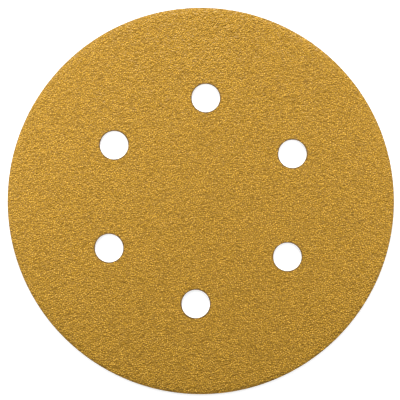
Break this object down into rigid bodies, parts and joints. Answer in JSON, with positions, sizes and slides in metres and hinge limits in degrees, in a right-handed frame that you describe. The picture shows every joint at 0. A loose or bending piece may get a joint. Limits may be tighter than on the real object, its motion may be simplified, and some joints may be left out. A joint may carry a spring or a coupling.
{
  "type": "hook and loop sanding disc",
  "caption": "Round gold abrasive disc with a ring of dust holes; a sander's hook-faced pad grips its loop back.",
  "frame": {"origin": "centre of the disc on the loop face that the pad grips, which is also the face it lies on", "axes": "+Z along the disc's axis, out of the grain side; +Y through the centre of one dust hole"},
  "size_m": [0.15, 0.15, 0.0014],
  "materials": {
    "gold_grain": "matte",
    "backing_paper": "matte",
    "loop_knit": "matte"
  },
  "bodies": {
    "root": {"grain_coat": "gold_grain", "paper_backing": "backing_paper", "brushed_loop_fabric": "loop_knit"}
  },
  "joints": []
}
